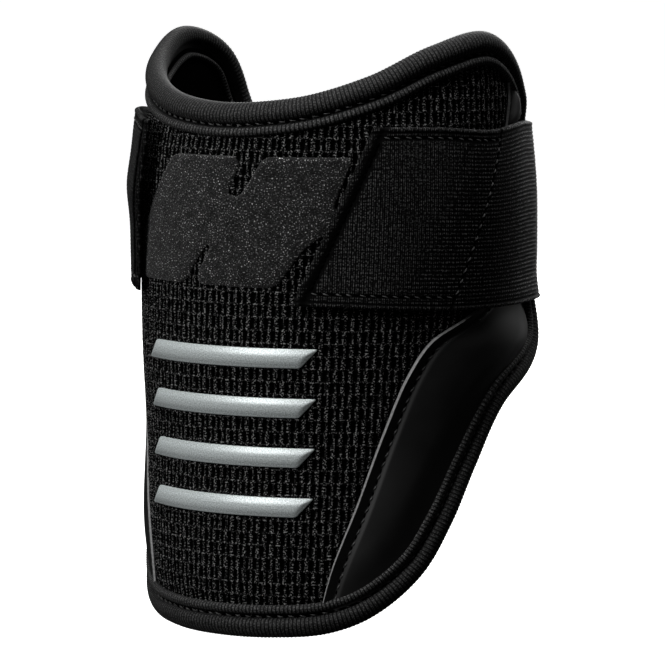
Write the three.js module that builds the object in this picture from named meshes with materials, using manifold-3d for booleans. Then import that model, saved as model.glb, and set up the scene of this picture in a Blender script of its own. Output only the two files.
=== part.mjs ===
// Elbow guard: a C-shaped moulded pad round the arm, with a mesh front, padded side panels, a rolled
// edge binding and one elastic strap that closes on a loop patch at the front.
//
// Millimetres, +Z up along the arm. The arm's axis is the Z axis, and the front of the guard faces -Y.
// Surfaces are described by an angle round the arm (degrees, 0 at the front, positive towards +X), a
// height along it and a radius from it.

import * as THREE from 'three';
import Module from 'manifold-3d';
import { mergeVertices } from 'three/addons/utils/BufferGeometryUtils.js';

const wasm = await Module();
wasm.setup();

// Body form
const EDGE_RADIUS = 53.2; // arm axis to the middle of the rolled edge
const SWELL = { rise: 1.8, height: 12, reach: 80 }; // the body is fullest at this height
const TAPER = { depth: 1.7, from: 30, to: 68 }; // it narrows over these heights
const WAIST = { depth: 0.9, height: -36, reach: 18 };
const WING_ANGLE = { from: 75, to: 110 }; // the wings are drawn in over these angles
const LEAN = { depth: 1.5, from: -25, to: 15 }; // all the way up from the elbow
const PINCH = { depth: 2.3, bottom: { from: -10, to: 12 }, top: { from: 44, to: 60 } }; // under the strap
const TWIST = { perMillimetre: 0.035, height: -20 }; // degrees it turns with height; untwisted at this height

// Layers, as radii from the arm axis on the plain cylinder
const CORE = { edge: 52.05, inner: 49.9, outer: 53.1 };
const CORE_SHOULDER = { from: 8, to: 22 }; // distances from its edge over which the core grows thicker
const MESH = { inner: 53.7, edge: 55.7, outer: 56.2 };
const MESH_SHOULDER = 10; // width over which the mesh rises from its bound edge
const SIDE = { inner: 53.7, edge: 55.4, seam: 56.4, bulge: 0.9 };
const SIDE_SHOULDER = { from: 3, to: 9 }; // distances from its bound edge over which a side panel rises
const PATCH = { inner: 56.55, outer: 57.45 };
const BAR = { inner: 56.5, edge: 57.0, outer: 57.4 };
const HOOK_THICKNESS = 0.7;
const STRAP_THICKNESS = 1.1;
const STRAP_BEAD = 0.2; // extra thickness of the strap's rolled long edges
const LAYER_GAP = 0.4; // from the strap to the hook tapes
const SEAM_GAP = 0.35; // degrees from the seam to each panel beside it
const PANEL_INSET = 2.6; // from the middle of the rolled edge to the panels' cut edge

// Free edge of the right half, at the middle of the roll, from the bottom front to the top front.
// leftDrop is how much lower the left edge is at the same place.
const EDGE = [
  { angle: 0, height: -86, leftDrop: 0 },
  { angle: 19, height: -85.6, leftDrop: 0 },
  { angle: 36, height: -84, leftDrop: 0 },
  { angle: 48.4, height: -79.5, leftDrop: 0 },
  { angle: 61.8, height: -69, leftDrop: 0 },
  { angle: 70.3, height: -56, leftDrop: 0 },
  { angle: 78.6, height: -40.4, leftDrop: 0 },
  { angle: 90, height: -23, leftDrop: 0 },
  { angle: 112.4, height: -8.2, leftDrop: 0 },
  { angle: 116.3, height: 13.5, leftDrop: 0 },
  { angle: 113, height: 35, leftDrop: -1 },
  { angle: 107, height: 53, leftDrop: -2.5 },
  { angle: 100, height: 68, leftDrop: -1.5 },
  { angle: 84.6, height: 76.5, leftDrop: 0.2 },
  { angle: 64.3, height: 73, leftDrop: 2.6 },
  { angle: 45, height: 65, leftDrop: 0.8 },
  { angle: 26.2, height: 59.5, leftDrop: 0 },
  { angle: 10.8, height: 57.5, leftDrop: 0 },
  { angle: 0, height: 57, leftDrop: 0 },
];

// Right seam between the mesh and the side panel; it meets the free edge at these two angles
const SEAM_ENDS = { bottom: 34.2, top: 93.9 };
const SEAM = [
  { angle: 37.3, height: -69 },
  { angle: 43.7, height: -51.3 },
  { angle: 50.5, height: -31.2 },
  { angle: 56.9, height: -14.9 },
  { angle: 63.3, height: -5.7 },
  { angle: 74.4, height: 0.5 },
  { angle: 86, height: 7.5 },
  { angle: 91.5, height: 20 },
  { angle: 92.8, height: 45 },
  { angle: 94, height: 60 },
];

// Section of the binding: out is away from the panel along the surface, rise is away from EDGE_RADIUS
const BINDING = [
  { out: -5.0, rise: 2.8 },
  { out: -4.4, rise: 3.5 },
  { out: -2.3, rise: 3.2 },
  { out: -1.0, rise: 3.75 },
  { out: 1.2, rise: 3.85 },
  { out: 3.2, rise: 2.4 },
  { out: 3.8, rise: 0.7 },
  { out: 3.1, rise: -0.9 },
  { out: 1.3, rise: -1.9 },
  { out: -0.6, rise: -1.8 },
  { out: -2.3, rise: -2.4 },
  { out: -4.6, rise: -2.75 },
  { out: -5.8, rise: -2.35 },
  { out: -1.5, rise: -1.95 },
  { out: -1.5, rise: 2.8 },
];
const BINDING_STEPS_PER_POINT = 3;

// Strap: its two slanted ends, given where they cut the top and bottom edges, and its inner face's radius
const STRAP_EDGE = { top: 54.5, bottom: 4.5 };
const STRAP_END_RIGHT = { top: 44.5, bottom: 25.5 };
const STRAP_END_LEFT = { top: 333.5, bottom: 325 };
const TIP_RISE = { height: 1.8, from: 26, to: 72 }; // the bottom edge rises towards the right end
const LEFT_RISE = { height: 3.2, from: 262, to: 306 }; // the whole strap rises towards the left end
const DIP = { depth: 1.5, angle: 82, reach: 14 }; // the top edge dips over the right wing
const STRAP_INNER = [
  { angle: 0, radius: 58.8 },
  { angle: 46, radius: 58.8 },
  { angle: 62, radius: 57.7 },
  { angle: 92, radius: 57.6 },
  { angle: 119, radius: 57.4 },
  { angle: 129, radius: 56.0 },
  { angle: 141, radius: 53.8 },
  { angle: 154, radius: 52.0 },
  { angle: 167, radius: 50.8 },
  { angle: 180, radius: 50.3 },
];
const STRAP_CROWN = 0.3; // how much the middle of the strap's width stands out
const SLACK = { rise: 0.6, angle: 307, reach: 20 }; // the strap bellies out on the left
const LIFT = { rise: 2, reach: 16 }; // the top corner of the left end stands off, over these degrees
const HOOK_INSET = { end: 2.5, edge: 3.5 }; // degrees from the strap's end, mm from its long edges
const HOOK_LENGTH = 37; // degrees

// Loop patch: slanted ends, and notches whose walls slant the same way
const PATCH_EDGE = { top: 46.2, bottom: 9.7 };
const PATCH_END_RIGHT = { top: 39.4, bottom: 19.2 };
const PATCH_END_LEFT = { top: -20, bottom: -47 };
const PATCH_NOTCHES = [
  { mouth: 46.7, floor: 35, mouthAngle: 9.8, floorAngle: 5, mouthWidth: 8, floorWidth: 4.3 },
  { mouth: 9.2, floor: 20.7, mouthAngle: -9.5, floorAngle: -3.1, mouthWidth: 6, floorWidth: 2 },
];

// Trim bars, from the top one down
const BAR_COUNT = 4;
const BAR_TOP = -10; // height of the middle of the top bar
const BAR_PITCH = 14;
const BAR_WIDTH = 5.4;
const BAR_HALF_ANGLE = 29;
const BAR_END = 3.2; // degrees over which the bar's ends round off

const MM_PER_DEGREE = EDGE_RADIUS * Math.PI / 180;
const { clamp, lerp, smoothstep, degToRad } = THREE.MathUtils;

// Surface coordinates

function bell(value, middle, reach) {
  return Math.exp(-(((value - middle) / reach) ** 2));
}

// How far the body stands out from the plain cylinder
function swell(angle, height) {
  const barrel = SWELL.rise * (1 - ((height - SWELL.height) / SWELL.reach) ** 2);
  const waist = WAIST.depth * bell(height, WAIST.height, WAIST.reach);
  const taper = TAPER.depth * smoothstep(height, TAPER.from, TAPER.to);
  const lean = LEAN.depth * smoothstep(height, LEAN.from, LEAN.to);
  const aboveStrap = smoothstep(height, PINCH.top.from, PINCH.top.to);
  const pinch = PINCH.depth * smoothstep(height, PINCH.bottom.from, PINCH.bottom.to) * (1 - aboveStrap);
  const folded = Math.abs(angle > 180 ? 360 - angle : angle);
  return barrel - waist - taper - (lean + pinch) * smoothstep(folded, WING_ANGLE.from, WING_ANGLE.to);
}

function place(angle, height, radius) {
  const r = radius + swell(angle, height);
  const turn = degToRad(angle + TWIST.perMillimetre * (height - TWIST.height));
  return new THREE.Vector3(r * Math.sin(turn), -r * Math.cos(turn), height);
}

// The free edge as a closed curve in the unrolled plane (millimetres round the arm, height)

const edgeRight = EDGE.map((row) => new THREE.Vector3(row.angle * MM_PER_DEGREE, row.height, 0));
const edgeLeft = EDGE.slice(1, -1).reverse()
  .map((row) => new THREE.Vector3(-row.angle * MM_PER_DEGREE, row.height - row.leftDrop, 0));
const edgeCurve = new THREE.CatmullRomCurve3([...edgeRight, ...edgeLeft], true, 'centripetal');

// Point of the edge moved out of the panel by a distance, as an angle and a height
function edgePoint(t, out) {
  const p = edgeCurve.getPoint(t);
  const along = edgeCurve.getTangent(t);
  return { angle: (p.x + along.y * out) / MM_PER_DEGREE, height: p.y - along.x * out };
}

// Curve parameter between start and end at which the panels' edge reaches an angle
function edgeParameter(angle, start, end) {
  const rising = edgePoint(end, -PANEL_INSET).angle > edgePoint(start, -PANEL_INSET).angle;
  let low = start;
  let high = end;
  for (let step = 0; step < 40; step++) {
    const middle = (low + high) / 2;
    const beyond = edgePoint(middle, -PANEL_INSET).angle > angle;
    if (beyond === rising) {
      high = middle;
    } else {
      low = middle;
    }
  }
  return (low + high) / 2;
}

const edgePointCount = edgeRight.length + edgeLeft.length;
const widestAngle = Math.max(...EDGE.map((row) => row.angle));
const widest = EDGE.findIndex((row) => row.angle === widestAngle) / edgePointCount;
const topFront = (edgeRight.length - 1) / edgePointCount;
const cornerBottom = edgeParameter(SEAM_ENDS.bottom, 0, widest);
const cornerTop = edgeParameter(SEAM_ENDS.top, widest, topFront);
const cornerTopLeft = edgeParameter(-SEAM_ENDS.top, topFront, 1 - widest);

function bottomHeight(angle) {
  return edgePoint(edgeParameter(Math.abs(angle), 0, cornerBottom), -PANEL_INSET).height;
}

function topHeight(angle) {
  const [start, end] = angle < 0 ? [topFront, cornerTopLeft] : [cornerTop, topFront];
  return edgePoint(edgeParameter(angle, start, end), -PANEL_INSET).height;
}

// The panels' edge up the right side (hand 1) or the left side (hand -1) of the body, with its angle unsigned
function sidePoint(v, hand = 1) {
  const t = hand > 0 ? lerp(cornerBottom, cornerTop, v) : lerp(1 - cornerBottom, cornerTopLeft, v);
  const p = edgePoint(t, -PANEL_INSET);
  return { angle: Math.abs(p.angle), height: p.height };
}

// The seam from the bottom corner to the top corner

const seamCurve = new THREE.CatmullRomCurve3(
  [sidePoint(0), ...SEAM, sidePoint(1)].map((row) => new THREE.Vector3(row.angle * MM_PER_DEGREE, row.height, 0)),
  false,
  'centripetal',
);

function seamPoint(v) {
  const p = seamCurve.getPointAt(v);
  return { angle: p.x / MM_PER_DEGREE, height: p.y };
}

// Solids

function evenly(count, start = 0, end = 1) {
  return Array.from({ length: count + 1 }, (_, i) => lerp(start, end, i / count));
}

// Closed solid between an outer and an inner sheet over the same grid of u and v stations.
// point(u, v, side) gives the place on the outer sheet (side 1) or the inner one (side 0).
function slab(us, vs, point) {
  const sheet = us.length * vs.length;
  const positions = [];
  for (const side of [1, 0]) {
    for (const v of vs) {
      for (const u of us) {
        positions.push(...point(u, v, side).toArray());
      }
    }
  }
  const triangles = [];
  const span = (a, b) => Math.hypot(...[0, 1, 2].map((k) => positions[3 * a + k] - positions[3 * b + k]));
  // A quad is split along its shorter diagonal, so that the facets keep to the curve
  const quad = (a, b, c, d) => {
    if (span(a, c) <= span(b, d)) {
      triangles.push(a, b, c, a, c, d);
    } else {
      triangles.push(b, c, d, b, d, a);
    }
  };
  const at = (i, j, side) => (side === 1 ? 0 : sheet) + j * us.length + i;
  const lastU = us.length - 1;
  const lastV = vs.length - 1;
  for (let j = 0; j < lastV; j++) {
    for (let i = 0; i < lastU; i++) {
      quad(at(i, j, 1), at(i + 1, j, 1), at(i + 1, j + 1, 1), at(i, j + 1, 1));
      quad(at(i, j, 0), at(i, j + 1, 0), at(i + 1, j + 1, 0), at(i + 1, j, 0));
    }
    quad(at(0, j, 0), at(0, j, 1), at(0, j + 1, 1), at(0, j + 1, 0));
    quad(at(lastU, j, 1), at(lastU, j, 0), at(lastU, j + 1, 0), at(lastU, j + 1, 1));
  }
  for (let i = 0; i < lastU; i++) {
    quad(at(i, 0, 0), at(i + 1, 0, 0), at(i + 1, 0, 1), at(i, 0, 1));
    quad(at(i, lastV, 1), at(i + 1, lastV, 1), at(i + 1, lastV, 0), at(i, lastV, 0));
  }
  return solidGeometry(positions, triangles);
}

// Closed ring swept round the free edge from a closed section
function edgeSweep(section, steps) {
  const positions = [];
  const triangles = [];
  const size = section.length;
  for (let k = 0; k < steps; k++) {
    for (const row of section) {
      const p = edgePoint(k / steps, row.out);
      positions.push(...place(p.angle, p.height, EDGE_RADIUS + row.rise).toArray());
    }
    const next = (k + 1) % steps;
    for (let i = 0; i < size; i++) {
      const j = (i + 1) % size;
      const [a, b, c, d] = [k * size + i, k * size + j, next * size + j, next * size + i];
      triangles.push(a, b, c, a, c, d);
    }
  }
  return solidGeometry(positions, triangles);
}

function solidGeometry(positions, triangles) {
  const geometry = new THREE.BufferGeometry();
  geometry.setAttribute('position', new THREE.Float32BufferAttribute(positions, 3));
  geometry.setIndex(triangles);
  geometry.computeVertexNormals();
  return geometry;
}

function toManifold(geometry) {
  const plain = geometry.clone();
  plain.deleteAttribute('normal');
  const merged = mergeVertices(plain);
  return new wasm.Manifold(new wasm.Mesh({
    numProp: 3,
    vertProperties: Float32Array.from(merged.attributes.position.array),
    triVerts: Uint32Array.from(merged.index.array),
  }));
}

function fromManifold(solid) {
  const mesh = solid.getMesh();
  return solidGeometry(Array.from(mesh.vertProperties), Array.from(mesh.triVerts));
}

// Grid over a panel: side(v, hand) runs up its right-hand or left-hand side
function panelPoint(u, v, side) {
  const across = 2 * u - 1;
  const hand = across < 0 ? -1 : 1;
  const [low, end, high] = [0, v, 1].map((station) => side(station, hand));
  const fromBottom = bottomHeight(across * low.angle) - low.height;
  const fromTop = topHeight(across * high.angle) - high.height;
  return { angle: across * end.angle, height: end.height + (1 - v) * fromBottom + v * fromTop };
}

// Sub-parts

function padCore() {
  const slant = 0.5; // the wings' slanted edges are nearer than the level distance to them
  return slab(evenly(24), evenly(18), (u, v, side) => {
    const p = panelPoint(u, v, sidePoint);
    const fromSide = slant * (1 - Math.abs(2 * u - 1)) * sidePoint(v).angle * MM_PER_DEGREE;
    const fromBottom = p.height - bottomHeight(Math.min(Math.abs(p.angle), SEAM_ENDS.bottom));
    const fromTop = topHeight(clamp(p.angle, -SEAM_ENDS.top, SEAM_ENDS.top)) - p.height;
    const fromEdge = Math.min(fromSide, fromBottom, fromTop);
    const inner = lerp(CORE.edge, CORE.inner, smoothstep(fromEdge, CORE_SHOULDER.from, CORE_SHOULDER.to));
    return place(p.angle, p.height, side === 1 ? CORE.outer : inner);
  });
}

const SEAM_STATIONS = [0, 0.02, ...evenly(16, 0.06, 0.94), 0.98, 1];

function meshPanel() {
  const seamSide = (v) => {
    const p = seamPoint(v);
    return { angle: p.angle - SEAM_GAP, height: p.height };
  };
  const tall = seamPoint(1).height - seamPoint(0).height;
  return slab(evenly(24), SEAM_STATIONS, (u, v, side) => {
    const p = panelPoint(u, v, seamSide);
    const rise = smoothstep(Math.min(v, 1 - v) * tall, PANEL_INSET, MESH_SHOULDER);
    const outer = lerp(MESH.edge, MESH.outer, rise);
    return place(p.angle, p.height, side === 1 ? outer : MESH.inner);
  });
}

function sidePanel(hand) {
  const us = hand > 0 ? [0, 0.1, 0.2, 0.42, 0.64, 0.86, 1] : [1, 0.86, 0.64, 0.42, 0.2, 0.1, 0];
  const bulgeFrom = { start: 0.14, end: 0.9 }; // the padded part of the panel's width
  const bulgeWidth = { none: 7, full: 22 }; // panel widths with no bulge and with all of it
  const bulgeHeight = { full: -8, none: 3 }; // it goes flat under the strap
  return slab(us, SEAM_STATIONS.slice(1, -1), (u, v, side) => {
    const seam = seamPoint(v);
    const free = sidePoint(v, hand);
    const start = { angle: seam.angle + SEAM_GAP, height: seam.height };
    const width = Math.hypot((free.angle - start.angle) * MM_PER_DEGREE, free.height - start.height);
    const height = lerp(start.height, free.height, u);
    const padded = clamp((u - bulgeFrom.start) / (bulgeFrom.end - bulgeFrom.start), 0, 1);
    const bulge = SIDE.bulge * Math.sin(Math.PI * padded)
      * smoothstep(width, bulgeWidth.none, bulgeWidth.full)
      * (1 - smoothstep(height, bulgeHeight.full, bulgeHeight.none));
    const shoulder = smoothstep((1 - u) * width, SIDE_SHOULDER.from, SIDE_SHOULDER.to);
    const outer = lerp(SIDE.edge, SIDE.seam, shoulder) + bulge;
    return place(hand * lerp(start.angle, free.angle, u), height, side === 1 ? outer : SIDE.inner);
  });
}

function edgeBinding() {
  return edgeSweep(BINDING, edgePointCount * BINDING_STEPS_PER_POINT);
}

// The strap and its hook tapes are laid out by an angle and a fraction v up the strap's width

function strapStart(v) {
  return lerp(STRAP_END_RIGHT.bottom, STRAP_END_RIGHT.top, v);
}

function strapEnd(v) {
  return lerp(STRAP_END_LEFT.bottom, STRAP_END_LEFT.top, v);
}

function strapHeight(angle, v) {
  const bottom = STRAP_EDGE.bottom + TIP_RISE.height * (1 - smoothstep(angle, TIP_RISE.from, TIP_RISE.to));
  const top = STRAP_EDGE.top - DIP.depth * bell(angle, DIP.angle, DIP.reach);
  return lerp(bottom, top, v) + LEFT_RISE.height * smoothstep(angle, LEFT_RISE.from, LEFT_RISE.to);
}

// Radius of the strap's inner face
function strapInner(angle, v) {
  const folded = Math.abs(angle > 180 ? 360 - angle : angle);
  const next = Math.max(1, STRAP_INNER.findIndex((row) => row.angle >= folded));
  const [a, b] = [STRAP_INNER[next - 1], STRAP_INNER[next]];
  const belly = (STRAP_CROWN + SLACK.rise * bell(angle, SLACK.angle, SLACK.reach)) * (1 - (2 * v - 1) ** 2);
  const lift = LIFT.rise * (1 - smoothstep(strapEnd(v) - angle, 0, LIFT.reach)) * smoothstep(v, 0, 1);
  return lerp(a.radius, b.radius, smoothstep(folded, a.angle, b.angle)) + belly + lift;
}

function strap() {
  const across = [0, 0.025, 0.05, 0.28, 0.5, 0.72, 0.95, 0.975, 1];
  const beads = [0.025, 0.975];
  return slab(evenly(48), across, (u, v, side) => {
    const angle = lerp(strapStart(v), strapEnd(v), u);
    const bead = beads.includes(v) ? STRAP_BEAD : 0;
    const radius = strapInner(angle, v) + (side === 1 ? STRAP_THICKNESS + bead : 0);
    return place(angle, strapHeight(angle, v), radius);
  });
}

// Hook tape under a strap end; hand is 1 for the right end and -1 for the left one
function hookPatch(hand) {
  const us = hand > 0 ? evenly(9) : evenly(9).reverse();
  const edge = HOOK_INSET.edge / (STRAP_EDGE.top - STRAP_EDGE.bottom);
  return slab(us, evenly(4, edge, 1 - edge), (u, v, side) => {
    const end = hand > 0 ? strapStart(v) : strapEnd(v);
    const angle = end + hand * (HOOK_INSET.end + HOOK_LENGTH * u);
    const outer = strapInner(angle, v) - LAYER_GAP;
    return place(angle, strapHeight(angle, v), side === 1 ? outer : outer - HOOK_THICKNESS);
  });
}

function patchNotch(row) {
  const reach = 2; // how far the cutter stands past the patch's two faces
  const upward = row.mouth > row.floor;
  const vs = upward ? [0, 1] : [1, 0];
  return slab(evenly(2), vs, (u, v, side) => {
    const middle = lerp(row.floorAngle, row.mouthAngle, v);
    const width = lerp(row.floorWidth, row.mouthWidth, v);
    const radius = side === 1 ? PATCH.outer + reach : PATCH.inner - reach;
    return place(middle + (u - 0.5) * width, lerp(row.floor, row.mouth, v), radius);
  });
}

function loopPatch() {
  const whole = slab(evenly(20), evenly(4), (u, v, side) => {
    const left = lerp(PATCH_END_LEFT.bottom, PATCH_END_LEFT.top, v);
    const right = lerp(PATCH_END_RIGHT.bottom, PATCH_END_RIGHT.top, v);
    const height = lerp(PATCH_EDGE.bottom, PATCH_EDGE.top, v);
    return place(lerp(left, right, u), height, side === 1 ? PATCH.outer : PATCH.inner);
  });
  const cut = PATCH_NOTCHES.reduce((solid, row) => solid.subtract(toManifold(patchNotch(row))), toManifold(whole));
  return fromManifold(cut);
}

function trimBar(index) {
  const middle = BAR_TOP - index * BAR_PITCH;
  const us = [0, 0.02, ...evenly(10, 0.06, 0.94), 0.98, 1];
  const blunt = 0.35; // share of the bar's width left at its very ends
  return slab(us, [0, 0.18, 0.82, 1], (u, v, side) => {
    const angle = BAR_HALF_ANGLE * (2 * u - 1);
    const fromEnd = clamp((BAR_HALF_ANGLE - Math.abs(angle)) / BAR_END, 0, 1);
    const half = (BAR_WIDTH / 2) * lerp(blunt, 1, Math.sqrt(1 - (1 - fromEnd) ** 2));
    const onRim = v === 0 || v === 1 || u === 0 || u === 1;
    const outer = onRim ? BAR.edge : BAR.outer;
    return place(angle, middle + half * (2 * v - 1), side === 1 ? outer : BAR.inner);
  });
}

// Finishes

function finish(color, roughness, metalness = 0) {
  return new THREE.MeshStandardMaterial({ color, roughness, metalness });
}

function lining() {
  return finish(0x0b0b0c, 0.95);
}

function mesh() {
  return finish(0x161617, 0.85);
}

function coatedPanel() {
  return finish(0x121213, 0.45);
}

function ribbedBinding() {
  return finish(0x1a1a1b, 0.8);
}

function velour() {
  return finish(0x202022, 0.95);
}

function elastic() {
  return finish(0x131314, 0.75);
}

function hookTape() {
  return finish(0x0e0e0f, 0.7);
}

function silverTrim() {
  return finish(0xb4bcbc, 0.4, 0.3);
}

// Assembly

const guard = new THREE.Group();

function add(name, geometry, material) {
  const piece = new THREE.Mesh(geometry, material);
  piece.name = name;
  guard.add(piece);
}

add('pad_core', padCore(), lining());
add('mesh_panel', meshPanel(), mesh());
add('side_panel_right', sidePanel(1), coatedPanel());
add('side_panel_left', sidePanel(-1), coatedPanel());
add('edge_binding', edgeBinding(), ribbedBinding());
add('loop_patch', loopPatch(), velour());
add('strap', strap(), elastic());
add('hook_patch_right', hookPatch(1), hookTape());
add('hook_patch_left', hookPatch(-1), hookTape());
for (let index = 0; index < BAR_COUNT; index++) {
  add(`trim_bar_${index + 1}`, trimBar(index), silverTrim());
}

export default guard;
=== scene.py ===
import math

import bpy
import numpy as np
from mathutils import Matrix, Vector


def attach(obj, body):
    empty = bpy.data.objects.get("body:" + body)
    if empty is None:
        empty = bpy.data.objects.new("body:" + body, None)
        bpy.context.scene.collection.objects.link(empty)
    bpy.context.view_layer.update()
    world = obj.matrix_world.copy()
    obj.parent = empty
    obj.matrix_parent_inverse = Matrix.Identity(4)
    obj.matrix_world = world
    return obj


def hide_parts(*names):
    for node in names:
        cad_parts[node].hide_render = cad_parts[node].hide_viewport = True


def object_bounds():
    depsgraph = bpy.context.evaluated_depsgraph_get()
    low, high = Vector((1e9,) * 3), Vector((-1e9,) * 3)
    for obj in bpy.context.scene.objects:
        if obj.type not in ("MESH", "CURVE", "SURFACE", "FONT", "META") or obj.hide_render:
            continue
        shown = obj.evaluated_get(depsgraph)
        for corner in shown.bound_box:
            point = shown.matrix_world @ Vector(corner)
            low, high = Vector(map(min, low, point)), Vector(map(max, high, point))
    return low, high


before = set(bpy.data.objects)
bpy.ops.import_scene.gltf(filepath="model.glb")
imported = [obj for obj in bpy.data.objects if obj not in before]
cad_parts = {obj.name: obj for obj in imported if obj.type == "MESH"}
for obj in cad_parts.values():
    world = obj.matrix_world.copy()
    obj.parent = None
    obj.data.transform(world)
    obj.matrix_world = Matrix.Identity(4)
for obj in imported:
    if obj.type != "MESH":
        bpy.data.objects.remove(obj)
cad_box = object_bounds()
rng = np.random.default_rng(20)

MM = 0.001

# Shared form, as in the solids but for a few values set finer. Millimetres, and degrees from the front
EDGE_RADIUS = 53.2
MM_PER_DEGREE = math.radians(EDGE_RADIUS)
SWELL, SWELL_HEIGHT, SWELL_REACH = 1.8, 12.0, 80.0
TAPER, TAPER_HEIGHT = 1.7, (30.0, 68.0)
LEAN, LEAN_ANGLE, LEAN_HEIGHT = 1.5, (75.0, 110.0), (-25.0, 15.0)
PINCH, PINCH_FROM, PINCH_TO = 2.3, (-10.0, 12.0), (50.0, 62.0)
WAIST, WAIST_HEIGHT, WAIST_REACH = 0.9, -36.0, 18.0
TWIST, TWIST_HEIGHT = 0.035, -20.0
PANEL_INSET = 2.6

# Free edge at the middle of its roll, on the right: angle, height, how much lower it is on the left
EDGE = [
    (0, -86, 0), (19, -85.6, 0), (36, -84, 0), (48.4, -79.5, 0), (61.8, -69, 0), (70.3, -56, 0),
    (78.6, -40.4, 0), (90, -23, 0), (112.4, -8.2, 0), (116.3, 13.5, 0), (113, 35, -1), (110, 53, 1.3),
    (101.3, 68, -2.6), (84.6, 76.5, 0.2), (64.3, 73, 2.6), (45, 65, 0.8), (26.2, 59.5, 0), (10.8, 57.5, 0),
    (0, 57, 0),
]
WIDEST_ANGLE = 116.3

# Right seam between mesh and side panel: angle, height. It meets the free edge at SEAM_ENDS
SEAM_ENDS = (34.2, 94.9)
SEAM = [
    (37.3, -69), (43.7, -51.3), (50.5, -31.2), (56.9, -14.9), (63.3, -5.7),
    (74.4, 0.5), (86, 7.5), (91.5, 20), (93.6, 45), (95, 60),
]

# Strap: heights of its long edges, angles of its slanted ends at the top and bottom
STRAP_TOP, STRAP_BOTTOM = 54.5, 4.5
STRAP_END_RIGHT = (44.3, 24.3)
STRAP_END_LEFT = (333.5, 325.0)
STRAP_THICKNESS = 1.1
STRAP_CROWN = 0.3
# The slack on the left: angle, reach in degrees, rise
SLACK_ANGLE, SLACK_REACH, SLACK_RISE = 307.0, 20.0, 1.34
# Fractions up the strap: where the slack bulges, its reach; how far it is drawn in below, up to where
SLACK_LEVEL, SLACK_SPREAD, SLACK_TUCK, SLACK_TUCK_END = 0.58, 0.17, 0.55, (0.6, 0.9)
# The left end stands off the front: reach in degrees, rise at the top corner
LIFT_REACH, LIFT_RISE = 16.0, 2.0
# Its ends and the dip over the right wing: changes in height, angles
TIP_RISE, TIP_REACH = 1.8, (26.0, 72.0)
LEFT_RISE, LEFT_REACH = 3.2, (262.0, 306.0)
LEFT_FALL, LEFT_FALL_REACH = 2.3, (308.0, 332.0)
DIP, DIP_ANGLE, DIP_REACH = 1.5, 82.0, 14.0
SAG, SAG_END = 1.4, (150.0, 210.0)
CORNER_FALL, CORNER_REACH = 0.8, (104.0, 124.0)
# Radius of the strap's inner face: angle, radius
STRAP_INNER = [
    (0, 58.8), (46, 58.8), (62, 57.7), (92, 57.6), (119, 57.4), (129, 56.0),
    (141, 53.8), (154, 52.0), (167, 50.8), (180, 50.3),
]


def smoothstep(x, low, high):
    t = np.clip((np.asarray(x, float) - low) / (high - low), 0, 1)
    return t * t * (3 - 2 * t)


def lerp(a, b, t):
    return a + (b - a) * t


def bell(x, middle, reach):
    """1 at the middle, falling off on both sides."""
    return np.exp(-((x - middle) / reach) ** 2)


def folded(angle):
    """Angle from the front to either side, 0 to 180."""
    return np.abs(np.where(angle > 180, 360 - angle, angle))


def swell(angle, height):
    """How far the body stands out at a place, beyond its plain cylinder."""
    barrel = SWELL * (1 - ((height - SWELL_HEIGHT) / SWELL_REACH) ** 2)
    waist = WAIST * bell(height, WAIST_HEIGHT, WAIST_REACH)
    under_strap = smoothstep(height, *PINCH_FROM) * (1 - smoothstep(height, *PINCH_TO))
    inward = LEAN * smoothstep(height, *LEAN_HEIGHT) + PINCH * under_strap
    drawn_in = inward * smoothstep(folded(angle), *LEAN_ANGLE)
    return barrel - waist - TAPER * smoothstep(height, *TAPER_HEIGHT) - drawn_in


def place(angle, height, radius):
    """Points in millimetres from angles, heights and radii."""
    angle, height, radius = np.broadcast_arrays(angle, height, radius)
    r = radius + swell(angle, height)
    turn = np.radians(angle + TWIST * (height - TWIST_HEIGHT))
    return np.stack([r * np.sin(turn), -r * np.cos(turn), height], -1)


# Curves in the unrolled plane

# Samples for finding an angle and for reading the free edge's height
SEARCH_STEPS, EDGE_STEPS = 4000, 1200
# The free edge starts at the bottom, and its top is between these fractions of it
TOP_FROM, TOP_TO = 0.3, 0.7


def unit(vectors):
    return vectors / np.linalg.norm(vectors, axis=-1, keepdims=True)


def distances(samples):
    """Distance along a line of points at each of them."""
    return np.concatenate([[0], np.cumsum(np.linalg.norm(np.diff(samples, axis=0), axis=1))])


def spline(points, closed, per_span=40):
    """Centripetal Catmull-Rom curve through the points, as dense samples."""
    points = np.asarray(points, float)
    if closed:
        padded = np.vstack([points[-1:], points, points[:2]])
    else:
        padded = np.vstack([2 * points[:1] - points[1:2], points, 2 * points[-1:] - points[-2:-1]])
    p0, p1, p2, p3 = (padded[i:len(padded) - 3 + i, None, :] for i in range(4))
    d0, d1, d2 = (np.sqrt(np.linalg.norm(b - a, axis=-1, keepdims=True))
                  for a, b in ((p0, p1), (p1, p2), (p2, p3)))
    m1 = d1 * ((p1 - p0) / d0 - (p2 - p0) / (d0 + d1) + (p2 - p1) / d1)
    m2 = d1 * ((p2 - p1) / d1 - (p3 - p1) / (d1 + d2) + (p3 - p2) / d2)
    t = (np.arange(per_span) / per_span)[None, :, None]
    curve = p1 + m1 * t + (3 * (p2 - p1) - 2 * m1 - m2) * t ** 2 + (2 * (p1 - p2) + m1 + m2) * t ** 3
    return np.vstack([curve.reshape(-1, points.shape[1]), points[:1] if closed else points[-1:]])


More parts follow.
